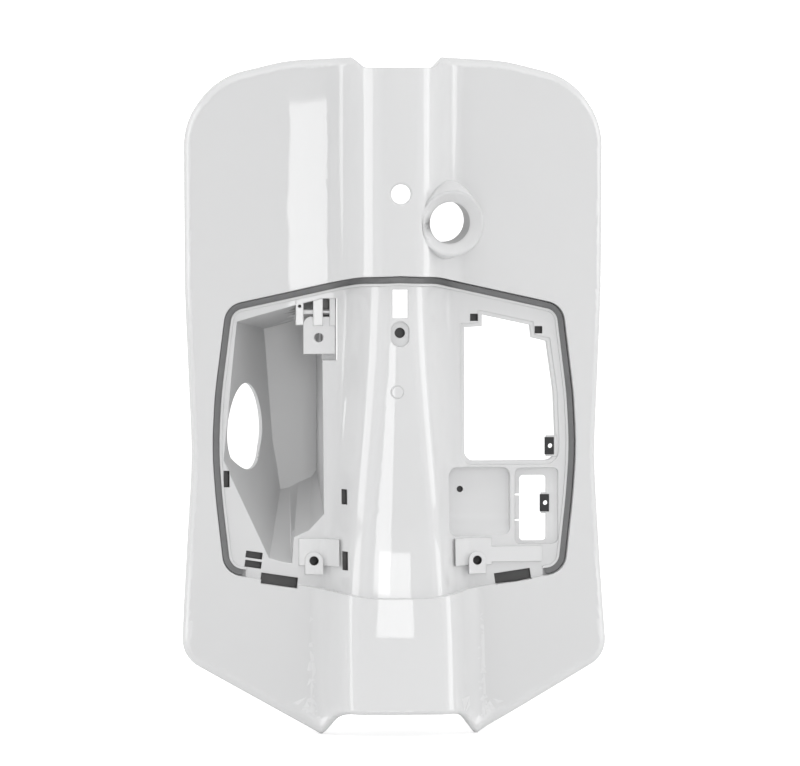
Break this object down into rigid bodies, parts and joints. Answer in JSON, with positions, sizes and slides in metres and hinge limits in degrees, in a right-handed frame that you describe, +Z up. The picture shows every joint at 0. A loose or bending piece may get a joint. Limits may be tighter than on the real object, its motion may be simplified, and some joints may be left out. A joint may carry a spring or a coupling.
{
  "type": "scooter leg shield",
  "caption": "Glossy moulded inner leg shield for a scooter, with a raised spine, an ignition-lock boss, a door recess with a seal, a deep glove pocket and openings for fittings.",
  "frame": {"origin": "centre of the column screw's seat, in the middle of the door recess", "axes": "+X to the rider's right, +Z up along the spine, -Y towards the rider"},
  "size_m": [0.4388, 0.2131, 0.6959],
  "materials": {
    "shield": "gloss white",
    "seal": "matt grey",
    "nuts": "satin black"
  },
  "bodies": {
    "root": {"leg_shield": "shield", "glovebox_seal": "seal", "clip_nuts": "nuts"}
  },
  "joints": []
}
